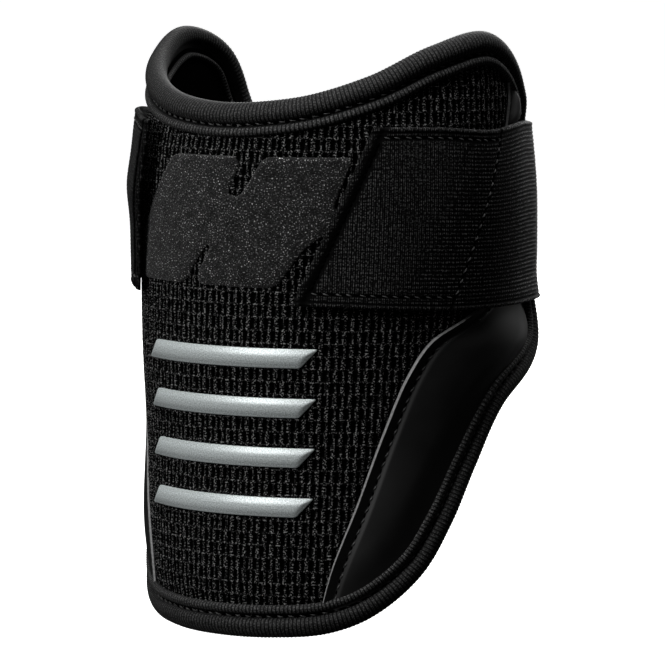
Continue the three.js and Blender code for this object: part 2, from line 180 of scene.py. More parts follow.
class Path:
    """A curve in the unrolled plane (millimetres round the arm, height)."""

    def __init__(self, samples):
        self.samples = samples
        self.s = distances(samples)
        self.length = self.s[-1]
        self.tangent = unit(np.gradient(samples, self.s, axis=0))

    def at(self, s, out=0.0):
        """Angle and height at distance s, moved to the right by out."""
        x, y, along, up = (np.interp(s, self.s, column)
                           for column in (*self.samples.T, *self.tangent.T))
        return (x + up * out) / MM_PER_DEGREE, y - along * out

    def where(self, angle, low, high, out):
        """Distance, between low and high, at which the curve reaches an angle."""
        s = np.linspace(low, high, SEARCH_STEPS)
        return s[np.argmin(np.abs(self.at(s, out)[0] - angle))]


def edge_path():
    angle, height, drop = np.array(EDGE, float).T
    right = np.stack([angle * MM_PER_DEGREE, height], -1)
    left = np.stack([-angle * MM_PER_DEGREE, height - drop], -1)[-2:0:-1]
    return Path(spline(np.vstack([right, left]), closed=True))


edge = edge_path()
edge_top = edge.where(0, TOP_FROM * edge.length, TOP_TO * edge.length, 0)
edge_widest = edge.where(WIDEST_ANGLE, 0, edge_top, 0)
corner_bottom = edge.where(SEAM_ENDS[0], 0, edge_widest, -PANEL_INSET)
corner_top = edge.where(SEAM_ENDS[1], edge_widest, edge_top, -PANEL_INSET)
corner_top_left = edge.where(-SEAM_ENDS[1], edge_top, edge.length - edge_widest, -PANEL_INSET)


def seam_path():
    ends = [edge.at(corner, -PANEL_INSET) for corner in (corner_bottom, corner_top)]
    rows = np.array([ends[0], *SEAM, ends[1]], float) * (MM_PER_DEGREE, 1)
    return Path(spline(rows, closed=False))


seam = seam_path()


def seam_angle(height):
    """Angle of the right seam at a height."""
    angles, heights = seam.at(seam.s)
    return np.interp(height, heights, angles)


def edge_height(angle, start, end):
    """Height of the panels' edge at an angle, on the stretch from start to end."""
    angles, heights = edge.at(np.linspace(start, end, EDGE_STEPS), -PANEL_INSET)
    order = np.argsort(angles)
    return np.interp(angle, angles[order], heights[order])


def top_height(angle):
    return edge_height(angle, corner_top, corner_top_left)


def bottom_height(angle):
    return edge_height(np.abs(angle), 0, corner_bottom)


def side_edge(v, hand):
    """Unsigned angle and height of the panels' edge up the right side (hand 1) or the left one (-1)."""
    if hand > 0:
        s = lerp(corner_bottom, corner_top, v)
    else:
        s = lerp(edge.length - corner_bottom, corner_top_left, v)
    angle, height = edge.at(s, -PANEL_INSET)
    return np.abs(angle), height


def strap_inner(angle):
    """Radius of the strap's inner face at an angle."""
    angles, radii = np.array(STRAP_INNER, float).T
    turn = folded(angle)
    k = np.clip(np.searchsorted(angles, turn), 1, len(angles) - 1)
    t = (turn - angles[k - 1]) / (angles[k] - angles[k - 1])
    return lerp(radii[k - 1], radii[k], smoothstep(t, 0, 1))


# Mesh building

# Corners of a square with sides of 2, turning left
SQUARE = np.array([(-1.0, -1.0), (1.0, -1.0), (1.0, 1.0), (-1.0, 1.0)])


def grid_quads(rows, columns, wrap_rows=False, wrap_columns=False):
    """Faces of a grid of points, facing out where columns run round and rows run up."""
    spans = np.arange(rows - (not wrap_rows)), np.arange(columns - (not wrap_columns))
    r, c = np.meshgrid(*spans, indexing="ij")
    r2, c2 = (r + 1) % rows, (c + 1) % columns
    corners = [r * columns + c, r * columns + c2, r2 * columns + c2, r2 * columns + c]
    return np.stack(corners, -1).reshape(-1, 4)


def slab_quads(rows, columns):
    """Faces of a closed body of two such grids, the outer one first."""
    sheet = rows * columns
    outer = grid_quads(rows, columns)
    inner = outer[:, ::-1] + sheet
    rim = np.concatenate([
        np.arange(columns - 1),
        np.arange(rows - 1) * columns + columns - 1,
        sheet - 1 - np.arange(columns - 1),
        (rows - 1 - np.arange(rows - 1)) * columns,
    ])
    after = np.roll(rim, -1)
    walls = np.stack([rim, rim + sheet, after + sheet, after], -1)
    return np.concatenate([outer, inner, walls])


def add_object(name, data):
    obj = bpy.data.objects.new(name, data)
    bpy.context.collection.objects.link(obj)
    return obj


def make_piece(name, points, quads, material, flat=None, shade=None):
    """A smooth mesh object. flat holds unrolled places, shade a 0 to 1 mark."""
    points = np.asarray(points, float).reshape(-1, 3)
    used = np.unique(quads)
    index = np.full(len(points), -1)
    index[used] = np.arange(len(used))
    mesh = bpy.data.meshes.new(name)
    mesh.from_pydata((points[used] * MM).tolist(), [], index[quads].tolist(), shade_flat=False)
    if flat is not None:
        values = np.zeros((len(points), 3))
        values[:, :flat.shape[-1]] = flat.reshape(-1, flat.shape[-1])
        layer = mesh.attributes.new("flat", "FLOAT_VECTOR", "POINT")
        layer.data.foreach_set("vector", values[used].ravel())
    if shade is not None:
        layer = mesh.attributes.new("shade", "FLOAT", "POINT")
        layer.data.foreach_set("value", np.ravel(shade)[used])
    mesh.validate()
    mesh.materials.append(material)
    piece = add_object(name, mesh)
    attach(piece, "root")
    return piece


def make_slab(name, outer, inner, material, flat, shade=None, mirrored=False):
    """A closed body between two grids of points, with the columns turned round if it is mirrored."""
    step = -1 if mirrored else 1
    points, flat = (np.concatenate([sheet[:, ::step].reshape(-1, sheet.shape[-1]) for sheet in faces])
                    for faces in ((outer, inner), (flat, flat)))
    if shade is not None:
        shade = np.tile(shade[:, ::step].ravel(), 2)
    return make_piece(name, points, slab_quads(*outer.shape[:2]), material, flat, shade)


def unrolled(angle, height):
    angle, height = np.broadcast_arrays(angle, height)
    return np.stack([angle * MM_PER_DEGREE, height], -1)


# Finishes. Noise scales are for each millimetre, or for each metre in object space

THREAD_GRAIN = 2500.0
SILVER_DARK, SILVER_PALE = (0.36, 0.4, 0.4, 1.0), (0.86, 0.92, 0.92, 1.0)


def grey(value):
    return (value, value, value, 1.0)


def add_node(tree, kind, inputs=None, **settings):
    """A shader node. inputs are values or links, by name or number."""
    node = tree.nodes.new("ShaderNode" + kind)
    for name, value in settings.items():
        setattr(node, name, value)
    for name, value in (inputs or {}).items():
        if isinstance(value, bpy.types.NodeSocket):
            tree.links.new(value, node.inputs[name])
        else:
            node.inputs[name].default_value = value
    return node


class Finish:
    """A material with a Principled shader; sockets are its constant values."""

    def __init__(self, name, **sockets):
        self.material = bpy.data.materials.new(name)
        self.material.use_nodes = True
        self.tree = self.material.node_tree
        self.shader = self.tree.nodes["Principled BSDF"]
        for socket, value in sockets.items():
            self.shader.inputs[socket.replace("_", " ")].default_value = value

    def node(self, kind, inputs=None, **settings):
        return add_node(self.tree, kind, inputs, **settings)

    def flat(self):
        return self.node("Attribute", attribute_name="flat").outputs["Vector"]

    def mark(self):
        return self.node("Attribute", attribute_name="shade").outputs["Fac"]

    def noise(self, vector, scale, detail=2.0, roughness=0.6):
        inputs = {"Vector": vector, "Scale": scale, "Detail": detail, "Roughness": roughness}
        return self.node("TexNoise", inputs).outputs["Fac"]

    def ramp(self, factor, *stops):
        """Colours over a factor: pairs of position and grey level or colour."""
        node = self.node("ValToRGB", {"Fac": factor})
        elements = node.color_ramp.elements
        while len(elements) < len(stops):
            elements.new(0.5)
        for element, (position, level) in zip(elements, stops):
            element.position = position
            element.color = level if isinstance(level, tuple) else grey(level)
        return node.outputs["Color"]

    def maths(self, operation, a, b=0.0):
        return self.node("Math", {0: a, 1: b}, operation=operation).outputs[0]

    def between(self, value, low, high=1.0):
        """A 0 to 1 value spread from low to high."""
        return self.node("MapRange", {"Value": value, "To Min": low, "To Max": high}).outputs["Result"]

    def gaps(self, along, pitch):
        """A wave: 1 at multiples of the pitch, where two yarns meet, and 0 between."""
        wave = self.maths("COSINE", self.maths("MULTIPLY", along, 2 * math.pi / pitch))
        return self.node("MapRange", {"Value": wave, "From Min": -1.0}).outputs["Result"]

    def link(self, output, socket):
        self.tree.links.new(output, self.shader.inputs[socket])

    def paint(self, colour, *layers):
        """Sets the base colour, with each further layer multiplied over it."""
        for layer in layers:
            inputs = {"Factor": 1.0, 6: colour, 7: layer}
            colour = self.node("Mix", inputs, data_type="RGBA", blend_type="MULTIPLY").outputs[2]
        self.link(colour, "Base Color")

    def bump(self, height, strength, distance):
        inputs = {"Height": height, "Strength": strength, "Distance": distance}
        self.link(self.node("Bump", inputs).outputs["Normal"], "Normal")


def mesh_yarn():
    look = Finish("mesh_yarn", Specular_IOR_Level=0.03)
    flat, depth = look.flat(), look.mark()
    fuzz = look.noise(flat, 2.3, 0.0)
    specks = look.ramp(fuzz, (0.41, 0.0005), (0.51, 0.006), (0.585, 0.045), (0.66, 0.25))
    # The mark, each point's depth, darkens the holes and the drawn-in bars nearly to black as painted shade
    look.paint(specks, look.ramp(depth, (0.03, 1.0), (0.15, 0.45), (0.32, 0.005)))
    look.link(look.between(depth, 0.75), "Roughness")
    look.bump(look.noise(flat, 5.0), 0.7, 0.0003)
    return look.material


def binding_rib():
    look = Finish("binding_rib", Roughness=0.7, Specular_IOR_Level=0.15,
                  Sheen_Weight=0.03, Sheen_Roughness=0.35)
    flat = look.flat()
    fuzz = look.noise(flat, 2.4, 0.0)
    yarn = look.ramp(fuzz, (0.36, 0.015), (0.52, 0.038), (0.65, 0.09))
    along = look.node("SeparateXYZ", {"Vector": flat}).outputs["X"]
    pairs = look.ramp(look.gaps(along, RIB_PITCH / 2), (0.35, 1.0), (0.95, 0.4))
    # Painted shade in the rib grooves, the stitched grooves and at the bands' feet; the unmarked bands come
    # out lighter as painted light
    painted_shade_and_light = look.ramp(look.mark(), (0.0, 1.7), (0.15, 1.0), (0.65, 0.005))
    look.paint(yarn, pairs, painted_shade_and_light)
    look.bump(fuzz, 0.3, 0.0002)
    return look.material


def velour_pile():
    look = Finish("velour_pile", Roughness=0.85, Specular_IOR_Level=0.15,
                  Sheen_Weight=0.08, Sheen_Roughness=0.4)
    flat = look.flat()
    pile = look.ramp(look.noise(flat, 2.0, 2.0, 0.75), (0.36, 0.0045), (0.52, 0.0145), (0.66, 0.046))
    specks = look.ramp(look.noise(flat, 2.5, 0.0), (0.64, 1.0), (0.76, 22.0))
    worn = look.ramp(look.noise(flat, 0.28), (0.34, 0.45), (0.5, 0.9), (0.68, 1.3))
    rim = look.ramp(look.mark(), (0.1, 1.5), (0.5, 0.75), (1.0, 1.0))
    look.paint(pile, specks, worn, rim)
    look.bump(look.noise(flat, 4.5, 3.0), 0.9, 0.0004)
    return look.material


def elastic_weave():
    """Fine weft across the strap, strongest on its sewn ends, where the third flat value is 1."""
    look = Finish("elastic_weave", Roughness=0.8, Specular_IOR_Level=0.05,
                  Sheen_Weight=0.03, Sheen_Roughness=0.3)
    flat = look.flat()
    along, _, sewn = look.node("SeparateXYZ", {"Vector": flat}).outputs
    weft = look.maths("MULTIPLY", look.gaps(along, WEFT_PITCH), look.between(sewn, 0.75))
    fuzz = look.noise(flat, 2.2, 0.0)
    yarn = look.ramp(fuzz, (0.36, 0.011), (0.5, 0.042), (0.66, 0.16))
    cords = look.ramp(weft, (0.25, 1.0), (0.75, 0.02))
    pairs = look.ramp(look.gaps(along, 2 * WEFT_PITCH), (0.2, 1.0), (0.8, 0.2))
    # Painted shade in the rib grooves, stitch dents, bead grooves, stitched valleys and on the left end;
    # marks under EVEN_SHADE lighten the right side as painted light; the cut ends' specks are random tone
    painted_shade_and_light = look.ramp(look.mark(), (0.04, 6.0), (0.12, 1.0), (0.5, 0.01))
    look.paint(yarn, cords, pairs, painted_shade_and_light)
    look.bump(fuzz, 0.4, 0.0002)
    return look.material


def coated_skin():
    look = Finish("coated_skin", Specular_IOR_Level=0.3)
    flat = look.flat()
    broad = look.noise(flat, 0.08)
    # Painted light: the mark, set on the narrow strip at the top of each side panel, lightens the skin up to
    # 26 times
    painted_light = look.ramp(look.mark(), (0.0, 1.0), (1.0, 26.0))
    look.paint(look.ramp(broad, (0.3, 0.005), (0.7, 0.008)), painted_light)
    look.link(look.between(broad, 0.5, 0.58), "Roughness")
    look.bump(look.noise(flat, 3.5), 0.08, 0.0001)
    return look.material


def brushed_lining():
    look = Finish("brushed_lining", Roughness=0.95, Specular_IOR_Level=0.0)
    fuzz = look.noise(look.flat(), 2.2, 4.0, 0.75)
    # Black fabric made darker still, as painted shade for the unlit inside of the guard
    look.paint(look.ramp(fuzz, (0.3, 0.0006), (0.55, 0.0016), (0.7, 0.005)))
    look.bump(fuzz, 0.5, 0.0003)
    return look.material


def silver_film():
    look = Finish("silver_film", Roughness=0.42, Metallic=0.25, Specular_IOR_Level=0.5)
    sparkle = look.noise(look.flat(), 2.6, 3.0, 0.8)
    look.paint(look.ramp(sparkle, (0.36, SILVER_DARK), (0.66, SILVER_PALE)))
    look.bump(sparkle, 0.25, 0.0001)
    return look.material


def plain(name, scale, *stops, by_object=False, **sockets):
    """A finish of one noise. Thread has no unrolled places, so its noise is in object space."""
    look = Finish(name, **sockets)
    vector = look.node("TexCoord").outputs["Object"] if by_object else look.flat()
    look.paint(look.ramp(look.noise(vector, scale), *stops))
    return look.material


def cut_edge():
    return plain("cut_edge", 1.5, (0.3, 0.16), (0.7, 0.3), Roughness=0.6)


def hook_plastic():
    return plain("hook_plastic", 1.2, (0.3, 0.004), (0.7, 0.009), Roughness=0.45, Specular_IOR_Level=0.4)


def thread():
    return plain("thread", THREAD_GRAIN, (0.35, 0.01), (0.65, 0.09), by_object=True,
                 Roughness=0.45, Specular_IOR_Level=0.5)


def painted_stitch_shade():
    # Near-black and dull: painted shade for needle holes, and for the thread beside the strap's cut ends
    return plain("painted_stitch_shade", THREAD_GRAIN, (0.3, 0.0001), (0.7, 0.001), by_object=True,
                 Roughness=1.0, Specular_IOR_Level=0.0)


# Mesh front

MESH_OUTER, MESH_EDGE = 56.2, 55.5
CELL_WIDTH, CELL_HEIGHT, CELL_RADIUS = 4.28, 3.57, 57.2
HOLE_DEPTH = 1.0
# Columns of a cell: place at the bars between rows, place beside the holes, depth
CELL_COLUMNS = np.array([
    (0.0, 0.0, 0.0), (0.1, 0.15, 0.16), (0.2, 0.195, 1.0), (0.3, 0.42, 1.0), (0.4, 0.465, 0.18),
    (0.5, 0.545, 0.05), (0.6, 0.625, 0.18), (0.7, 0.67, 1.0), (0.8, 0.8, 1.0), (0.9, 0.845, 0.16),
])
# Rows of a cell: height in it, how far the columns follow the holes, how open the hole is
CELL_ROWS = np.array([
    (0.0, 0.2, 0.1), (0.08, 0.75, 0.24), (0.13, 1.0, 1.0),
    (0.5, 1.0, 1.0), (0.87, 1.0, 1.0), (0.92, 0.75, 0.24),
])
# The bars, where holes are open less than BAR_OPEN, are drawn in unevenly by up to BAR_SLACK
BAR_SLACK, BAR_OPEN = 0.16, 0.5
# How far yarn strays: as a share of a cell, then in millimetres
STRAY_ACROSS, STRAY_UP, STRAY_OUT = 0.008, 0.03, 0.035
# Where the mesh is widest and tallest, and the grid's reach past it
WIDEST_HEIGHT, TALLEST_ANGLE = 60.0, SEAM_ENDS[1] - 8.0
SPARE_ANGLE, SPARE_BELOW, SPARE_ABOVE = 3.0, 1.0, 3.0
# Its fall to MESH_EDGE at the free edge, and its drop under the side panels
EDGE_FALL = (1.0, 9.0)
SEAM_SINK, SEAM_SINK_REACH = 0.8, (-1.0, 2.0)
MESH_TUCK = 2.0


def mesh_cover(material):
    """Open mesh: rows of cells, each with a wide and a narrow hole, as one displaced sheet."""
    pitch = math.degrees(CELL_WIDTH / CELL_RADIUS)
    per_cell = len(CELL_COLUMNS)
    per_row = len(CELL_ROWS)
    half_cells = math.ceil((seam_angle(WIDEST_HEIGHT) + SPARE_ANGLE) / pitch)
    low = bottom_height(0) - SPARE_BELOW
    strips = math.ceil((top_height(TALLEST_ANGLE) + SPARE_ABOVE - low) / CELL_HEIGHT)
    column = np.arange(-half_cells * per_cell, half_cells * per_cell + 1)
    row = np.arange(strips * per_row + 1)
    strip = row // per_row
    level, follow, opening = CELL_ROWS[row % per_row].T
    height = low + (strip + level) * CELL_HEIGHT
    # Every other row is moved by half a cell
    moved = strip[:, None] % 2
    local = column[None, :] - moved * (per_cell // 2)
    even, beside, depth = np.moveaxis(CELL_COLUMNS[local % per_cell], -1, 0)
    across = local // per_cell + lerp(even, beside, follow[:, None]) + moved / 2
    across = across + rng.normal(0, STRAY_ACROSS, across.shape)
    height = np.broadcast_to(height[:, None], across.shape) + rng.normal(0, STRAY_UP, across.shape)
    slack = BAR_SLACK * rng.random(across.shape) * (opening < BAR_OPEN)[:, None]
    hole = depth * (opening[:, None] + slack)
    angle = across * pitch
    from_seam = (seam_angle(height) - np.abs(angle)) * MM_PER_DEGREE
    from_edge = np.minimum(top_height(angle) - height, height - bottom_height(angle))
    radius = lerp(MESH_EDGE, MESH_OUTER, smoothstep(from_edge, *EDGE_FALL))
    radius = radius - SEAM_SINK * (1 - smoothstep(from_seam, *SEAM_SINK_REACH))
    radius = radius - HOLE_DEPTH * hole + rng.normal(0, STRAY_OUT, hole.shape)
    points = place(angle, height, radius)
    quads = grid_quads(len(row), len(column))
    inside = ((from_seam > -MESH_TUCK) & (from_edge > -MESH_TUCK)).ravel()
    quads = quads[inside[quads].all(axis=1)]
    # hole is also the shade mark: the finish paints shade into the holes and the drawn-in bars
    piece = make_piece("mesh_cover", points, quads, material, unrolled(angle, height), hole)
    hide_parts("mesh_panel")


# Side panels

# Radius of the cut edge on the right and on the left, where it lies flatter
SIDE_EDGE_RADIUS, SIDE_EDGE_LEFT = 57.1, 56.5
SIDE_FOOT_RADIUS, SIDE_STITCH_RADIUS, SIDE_RADIUS, SIDE_BACK = 55.9, 55.7, 56.3, 0.3
# Width of the cut edge, and the most of the panel's width that it takes
CUT_EDGE, CUT_SHARE = 0.36, 0.2
# Topstitch: distances from the seam, heights between which they change, turn of the face past it
TOPSTITCH_WIDE, TOPSTITCH_NARROW, TOPSTITCH_CHANGE = 3.1, 2.0, (0.0, 25.0)
FACE_TURN = 1.6
# Padding, and that of the narrow strip beside the top of the wing: fullness, distance past the topstitch
# at which it is full, distances from the bound edge over which it comes up
SIDE_PAD, SIDE_CROWN, SIDE_FALL = 1.5, 11.0, (1.0, 12.0)
STRIP_PAD, STRIP_CROWN, STRIP_FALL = 1.5, 3.0, (0.5, 3.5)
# The strip: heights at which it starts and its padding ends, thinner cut edge, painted light on its skin
STRIP_HEIGHT, STRIP_END = (52.0, 56.5), (60.0, 70.0)
STRIP_THIN, STRIP_THIN_HEIGHT = 0.35, (40.0, 52.0)
PAINTED_LIGHT_START, PAINTED_LIGHT_STOP = (0.0, 0.6), (0.8, 4.0)
# The strap presses the padding flat, and draws the panel in at its lower edge
PRESSED_FROM, PRESSED_TO = (-8.0, 3.0), (51.0, 59.0)
STRAP_TUCK, TUCK_HEIGHT, TUCK_REACH, TUCK_RISE = 1.1, STRAP_BOTTOM - 1.0, 4.5, (0.0, 3.0)
# The panel sinks to the binding: distances from the bound edge, heights
SINK_REACH, SINK_HEIGHT = (2.6, 4.6), (-25.0, -5.0)
# Fractions of the seam for a panel, its grid, how the columns gather at the seam
SIDE_SPAN = (0.012, 0.998)
SIDE_STATIONS, SIDE_COLUMNS, COLUMN_POWER = 220, 80, 1.25


def topstitch(height):
    """Distance of the topstitch from the seam."""
    return lerp(TOPSTITCH_WIDE, TOPSTITCH_NARROW, smoothstep(height, *TOPSTITCH_CHANGE))


def crown(past, full_at):
    """Rounded rise of padding with the distance past the topstitch, 0 to 1."""
    return np.sin(np.pi / 2 * np.clip(past / full_at, 0, 1))


def side_rise(from_seam, from_edge, height, edge_radius):
    """Radius of a side panel's face, and how much painted light its skin gets there, 0 to 1."""
    stitch = topstitch(height)
    past = from_seam - stitch
    lip_top = edge_radius - STRIP_THIN * smoothstep(height, *STRIP_THIN_HEIGHT)
    lip = lerp(lip_top, SIDE_STITCH_RADIUS, np.clip(from_seam / stitch, 0, 1))
    face = lerp(SIDE_STITCH_RADIUS, SIDE_RADIUS, smoothstep(past, 0, FACE_TURN))
    pressed = smoothstep(height, *PRESSED_FROM) * (1 - smoothstep(height, *PRESSED_TO))
    pad = SIDE_PAD * crown(past, SIDE_CROWN) * smoothstep(from_edge, *SIDE_FALL) * (1 - pressed)
    in_strip = smoothstep(height, *STRIP_HEIGHT)
    full = in_strip * (1 - smoothstep(height, *STRIP_END))
    strip = STRIP_PAD * full * crown(past, STRIP_CROWN) * smoothstep(from_edge, *STRIP_FALL)
    painted_light = in_strip * smoothstep(past, *PAINTED_LIGHT_START) * (1 - smoothstep(past, *PAINTED_LIGHT_STOP))
    tuck = STRAP_TUCK * bell(height, TUCK_HEIGHT, TUCK_REACH) * smoothstep(past, *TUCK_RISE)
    sink = (1 - smoothstep(from_edge, *SINK_REACH)) * smoothstep(height, *SINK_HEIGHT) * (1 - in_strip)
    return np.where(past < 0, lip, face) + pad + strip - sink - tuck, painted_light


def side_cover(hand, skin, edge_material):
    """Padded panel from its cut edge on the seam to under the binding."""
    name = "right" if hand > 0 else "left"
    v = np.linspace(*SIDE_SPAN, SIDE_STATIONS)[:, None]
    start_angle, start_height = seam.at(v * seam.length)
    end_angle, end_height = side_edge(v, hand)
    width = np.hypot((end_angle - start_angle) * MM_PER_DEGREE, end_height - start_height)
    first = np.minimum(CUT_EDGE / width, CUT_SHARE)
    rest = np.linspace(0, 1, SIDE_COLUMNS - 1) ** COLUMN_POWER
    w = np.hstack([np.zeros_like(first), first + (1 - first) * rest])
    angle = lerp(start_angle, end_angle, w)
    height = lerp(start_height, end_height, w)
    edge_radius = SIDE_EDGE_RADIUS if hand > 0 else SIDE_EDGE_LEFT
    radius, painted_strip_light = side_rise(w * width, (1 - w) * width, height, edge_radius)
    radius[:, 0] = SIDE_FOOT_RADIUS
    outer = place(hand * angle, height, radius)
    inner = place(hand * angle, height, np.minimum(radius, SIDE_FOOT_RADIUS) - SIDE_BACK)
    piece = make_slab("side_cover_" + name, outer, inner, skin, unrolled(angle, height), painted_strip_light, hand < 0)
    piece.data.materials.append(edge_material)
    show_cut_edge(piece, w.shape, 0 if hand > 0 else SIDE_COLUMNS - 2)
    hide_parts("side_panel_" + name)


def show_cut_edge(piece, shape, column):
    """Gives one column of a slab's outer faces the second material, with hard corners."""
    rows, columns = shape
    for row in range(rows - 1):
        polygon = piece.data.polygons[row * (columns - 1) + column]
        polygon.material_index = 1
        polygon.use_smooth = False


# Edge binding

# Ribs are about RIB_SPACING apart, with RIB_STEPS steps of the grid each
RIB_SPACING, RIB_STEPS = 1.12, 3
RIB_COUNT = round(edge.length / RIB_SPACING)
RIB_PITCH = edge.length / RIB_COUNT
RIB_HEIGHT = 0.11
# Section from the outer band round to the inner one: out of the panel, rise from EDGE_RADIUS, height of
# the ribs, painted shade: 1 in grooves and at band feet, 0.15 on the roll, where 0 lightens the bands as
# painted light
BINDING_SECTION = [
    (-5.6, 2.1, 0, 1), (-5.6, 2.9, 1, 0), (-5.2, 3.65, 1, 0), (-4.5, 3.95, 1, 0), (-3.45, 3.5, 1, 0),
    (-2.85, 2.3, 0, 1), (-2.2, 2.1, 0, 1), (-1.8, 2.9, 1, 0.15), (-1.1, 3.7, 1, 0.15), (0.2, 4.1, 1, 0.15),
    (1.6, 3.75, 1, 0.15), (2.8, 2.9, 1, 0.15), (3.6, 1.7, 1, 0.15), (3.8, 0.6, 1, 0.15),
    (3.5, -0.6, 1, 0.15), (2.5, -1.5, 1, 0.15), (1.1, -1.95, 1, 0.15), (-0.1, -1.9, 1, 0.4),
    (-0.8, -1.4, 1, 1), (-1.3, -0.9, 0, 1), (-3.6, -0.9, 0, 1), (-4.0, -1.4, 1, 0.6), (-4.3, -2.0, 1, 0),
    (-4.9, -2.2, 1, 0), (-5.4, -1.9, 1, 0), (-5.6, -1.4, 1, 0.5), (-5.6, -0.9, 0, 1),
]
BINDING_POINTS = 46


def binding_cover(material):
    """The rolled edge, ribbed, with a stitched groove and band on each face."""
    out, rise, ribbed, painted_section_shade = spread(spline(BINDING_SECTION, closed=False), BINDING_POINTS).T
    slope = np.stack([np.gradient(out), np.gradient(rise)], -1)
    normal = unit(slope[:, ::-1] * (-1, 1))
    stations = RIB_STEPS * RIB_COUNT
    s = np.arange(stations)[:, None] * RIB_PITCH / RIB_STEPS
    groove = (np.arange(stations) % RIB_STEPS == 0)[:, None] * np.clip(ribbed, 0, 1)
    angle, height = edge.at(s, out + RIB_HEIGHT * groove * normal[:, 0])
    points = place(angle, height, EDGE_RADIUS + rise + RIB_HEIGHT * groove * normal[:, 1])
    quads = grid_quads(stations, len(out), wrap_rows=True)[:, ::-1]
    along = np.cumsum(np.linalg.norm(slope, axis=1))
    flat = np.stack(np.broadcast_arrays(s, along), -1)
    # The finish turns this into painted shade in the grooves and painted light on the bands
    shade = np.clip(np.maximum(groove, painted_section_shade), 0, 1)
    piece = make_piece("binding_cover", points, quads, material, flat, shade)
    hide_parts("edge_binding")


def spread(samples, count):
    """The same curve as points at even distances, measured on its first two columns."""
    s = distances(samples[:, :2])
    return np.stack([np.interp(np.linspace(0, s[-1], count), s, column) for column in samples.T], -1)


# Lining

LINING_RADIUS, LINING_BACK = 52.0, 53.2
LINING_PUFF, LINING_FALL = 2.2, (2.0, 16.0)
LINING_ROWS, LINING_COLUMNS = 110, 150


def lining_cover(material):
    """The padded lining, a C round the arm, full between its bound edges."""
    v = np.linspace(0, 1, LINING_ROWS)[:, None]
    across = np.linspace(-1, 1, LINING_COLUMNS)[None, :]
    side_angle, side_height = (np.where(across < 0, left, right)
                               for left, right in zip(side_edge(v, -1), side_edge(v, 1)))
    from_bottom = bottom_height(across * side_angle[0]) - side_height[0]
    from_top = top_height(across * side_angle[-1]) - side_height[-1]
    angle = across * side_angle
    height = side_height + (1 - v) * from_bottom + v * from_top
    near_side = (1 - np.abs(across)) * side_angle * MM_PER_DEGREE
    near_end = np.minimum(v, 1 - v) * np.ptp(side_height)
    puff = LINING_PUFF * smoothstep(near_side, *LINING_FALL) * smoothstep(near_end, *LINING_FALL)
    inner = place(angle, height, LINING_RADIUS - puff)
    outer = place(angle, height, LINING_BACK)
    piece = make_slab("lining_cover", outer, inner, material, unrolled(angle, height))
    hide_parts("pad_core")


# Loop patch

PATCH_RADIUS, PATCH_THICKNESS, PILE_DEPTH = 56.15, 1.0, 0.22
PATCH_STEP, PATCH_MARGIN = 0.3, 1.0
# Distances from the outline: of the face's rounding, of the rim's mark
PATCH_CORNER, PATCH_RIM = 1.6, 3.0
# Rounding of an outline's corners: reach, largest share of a side, points
PATCH_TURN, CORNER_SHARE, CORNER_POINTS = 3.0, 0.45, 6
# Outline, clockwise from the top left: angle, height. OUTLINE_RADIUS unrolls it
PATCH_OUTLINE = [
    (-20, 46), (5.8, 46.2), (6.2, 42), (3.0, 36.3), (4.8, 34.8), (7.4, 35.2), (13.8, 46.2), (39.6, 46.2),
    (34.5, 32.5), (35.2, 31), (33.5, 25), (28.5, 22), (25.6, 19), (19.2, 9.6), (-6.4, 9.7), (-6.9, 12.6),
    (-2.2, 20.8), (-4, 20.8), (-12.2, 9.7), (-47, 9.7),
]
OUTLINE_RADIUS = 58.0


def outline_distance(points, outline):
    """Signed distance from each point to a closed outline, positive inside."""
    best = np.full(len(points), np.inf)
    inside = np.zeros(len(points), bool)
    for a, b in zip(outline, np.roll(outline, -1, axis=0)):
        span = b - a
        t = np.clip((points - a) @ span / (span @ span), 0, 1)
        best = np.minimum(best, np.linalg.norm(points - a - t[:, None] * span, axis=1))
        crosses = (a[1] > points[:, 1]) != (b[1] > points[:, 1])
        with np.errstate(divide="ignore", invalid="ignore"):
            crossing = a[0] + (points[:, 1] - a[1]) * span[0] / span[1]
        inside ^= crosses & (points[:, 0] < crossing)
    return np.where(inside, best, -best)


def round_corners(outline, reach):
    """The outline with each corner replaced by a short curve, up to reach away from it."""
    rows = []
    for before, corner, after in zip(np.roll(outline, 1, axis=0), outline, np.roll(outline, -1, axis=0)):
        ends = [corner + (other - corner) * min(CORNER_SHARE, reach / np.linalg.norm(other - corner))
                for other in (before, after)]
        for t in np.linspace(0, 1, CORNER_POINTS):
            rows.append((1 - t) ** 2 * ends[0] + 2 * t * (1 - t) * corner + t ** 2 * ends[1])
    return np.array(rows)


def loop_patch_cover(material):
    """Velour patch: a sheet of uneven pile that rounds down to the mesh."""
    scale = math.radians(OUTLINE_RADIUS)
    outline = round_corners(np.array(PATCH_OUTLINE, float) * (scale, 1), PATCH_TURN)
    x, y = (np.arange(axis.min() - PATCH_MARGIN, axis.max() + PATCH_MARGIN, PATCH_STEP) for axis in outline.T)
    grid = np.stack(np.meshgrid(x, y), -1)
    depth = outline_distance(grid.reshape(-1, 2), outline).reshape(len(y), len(x))
    quads = grid_quads(len(y), len(x))
    quads = quads[(depth.ravel()[quads] > -0.5 * PATCH_STEP).all(axis=1)]
    rounded = np.sqrt(np.clip(1 - (1 - np.clip(depth, 0, PATCH_CORNER) / PATCH_CORNER) ** 2, 0, 1))
    pile = rng.random(depth.shape) * PILE_DEPTH * np.clip(depth, 0, 1)
    radius = PATCH_RADIUS + PATCH_THICKNESS * rounded - pile
    angle, height = grid[..., 0] / scale, grid[..., 1]
    piece = make_piece("loop_patch_cover", place(angle, height, radius), quads, material,
                       unrolled(angle, height), np.clip(depth / PATCH_RIM, 0, 1))
    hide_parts("loop_patch")


# Strap

STRAP_RIB, WEFT_PITCH = 1.13, 0.54
